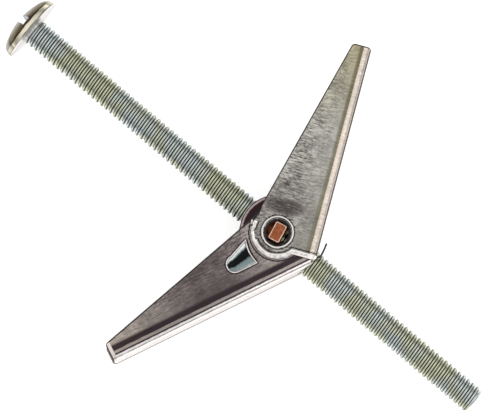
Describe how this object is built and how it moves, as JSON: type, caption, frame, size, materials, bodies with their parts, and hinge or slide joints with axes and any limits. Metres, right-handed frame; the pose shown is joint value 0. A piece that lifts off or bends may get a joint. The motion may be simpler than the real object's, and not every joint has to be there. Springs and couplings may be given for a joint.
{
  "type": "spring toggle wall anchor",
  "caption": "Wall anchor with a slotted mushroom-head machine screw, a trunnion nut and two sprung channel wings that fold back for insertion in a hollow wall.",
  "frame": {"origin": "centre of the bearing face under the screw's head, on the screw's axis", "axes": "+X along the screw from its head into the wall, +Z along the axis that both wings pivot on, +Y by the right-hand rule"},
  "size_m": [0.1308, 0.0885, 0.016],
  "materials": {
    "screw_zinc": "satin",
    "nut_copper": "satin",
    "wing_steel": "satin",
    "wing_steel_dark": "glossy",
    "spring_steel": "satin"
  },
  "bodies": {
    "screw": {"screw": "screw_zinc"},
    "nut": {"trunnion_nut": "nut_copper", "spring": "spring_steel"},
    "wing_outer_near": {"wing_outer_near": "wing_steel"},
    "wing_outer_far": {"wing_outer_far": "wing_steel_dark"}
  },
  "joints": [
    {"name": "nut_travel", "type": "slide", "parent": "screw", "child": "nut", "axis": [1, 0, 0], "range_m": [-0.02, 0.05]},
    {"name": "near_wing_fold", "type": "hinge", "parent": "nut", "child": "wing_outer_near", "pos_m": [0.0702, 0, 0], "axis": [0, 0, 1], "range_deg": [0, 71], "stiffness_Nm_per_rad": 0.02, "springref_deg": -45.84, "deforming": ["spring"]},
    {"name": "far_wing_fold", "type": "hinge", "parent": "nut", "child": "wing_outer_far", "pos_m": [0.0702, 0, 0], "axis": [0, 0, -1], "range_deg": [0, 71], "stiffness_Nm_per_rad": 0.02, "springref_deg": -45.84, "deforming": ["spring"]}
  ]
}
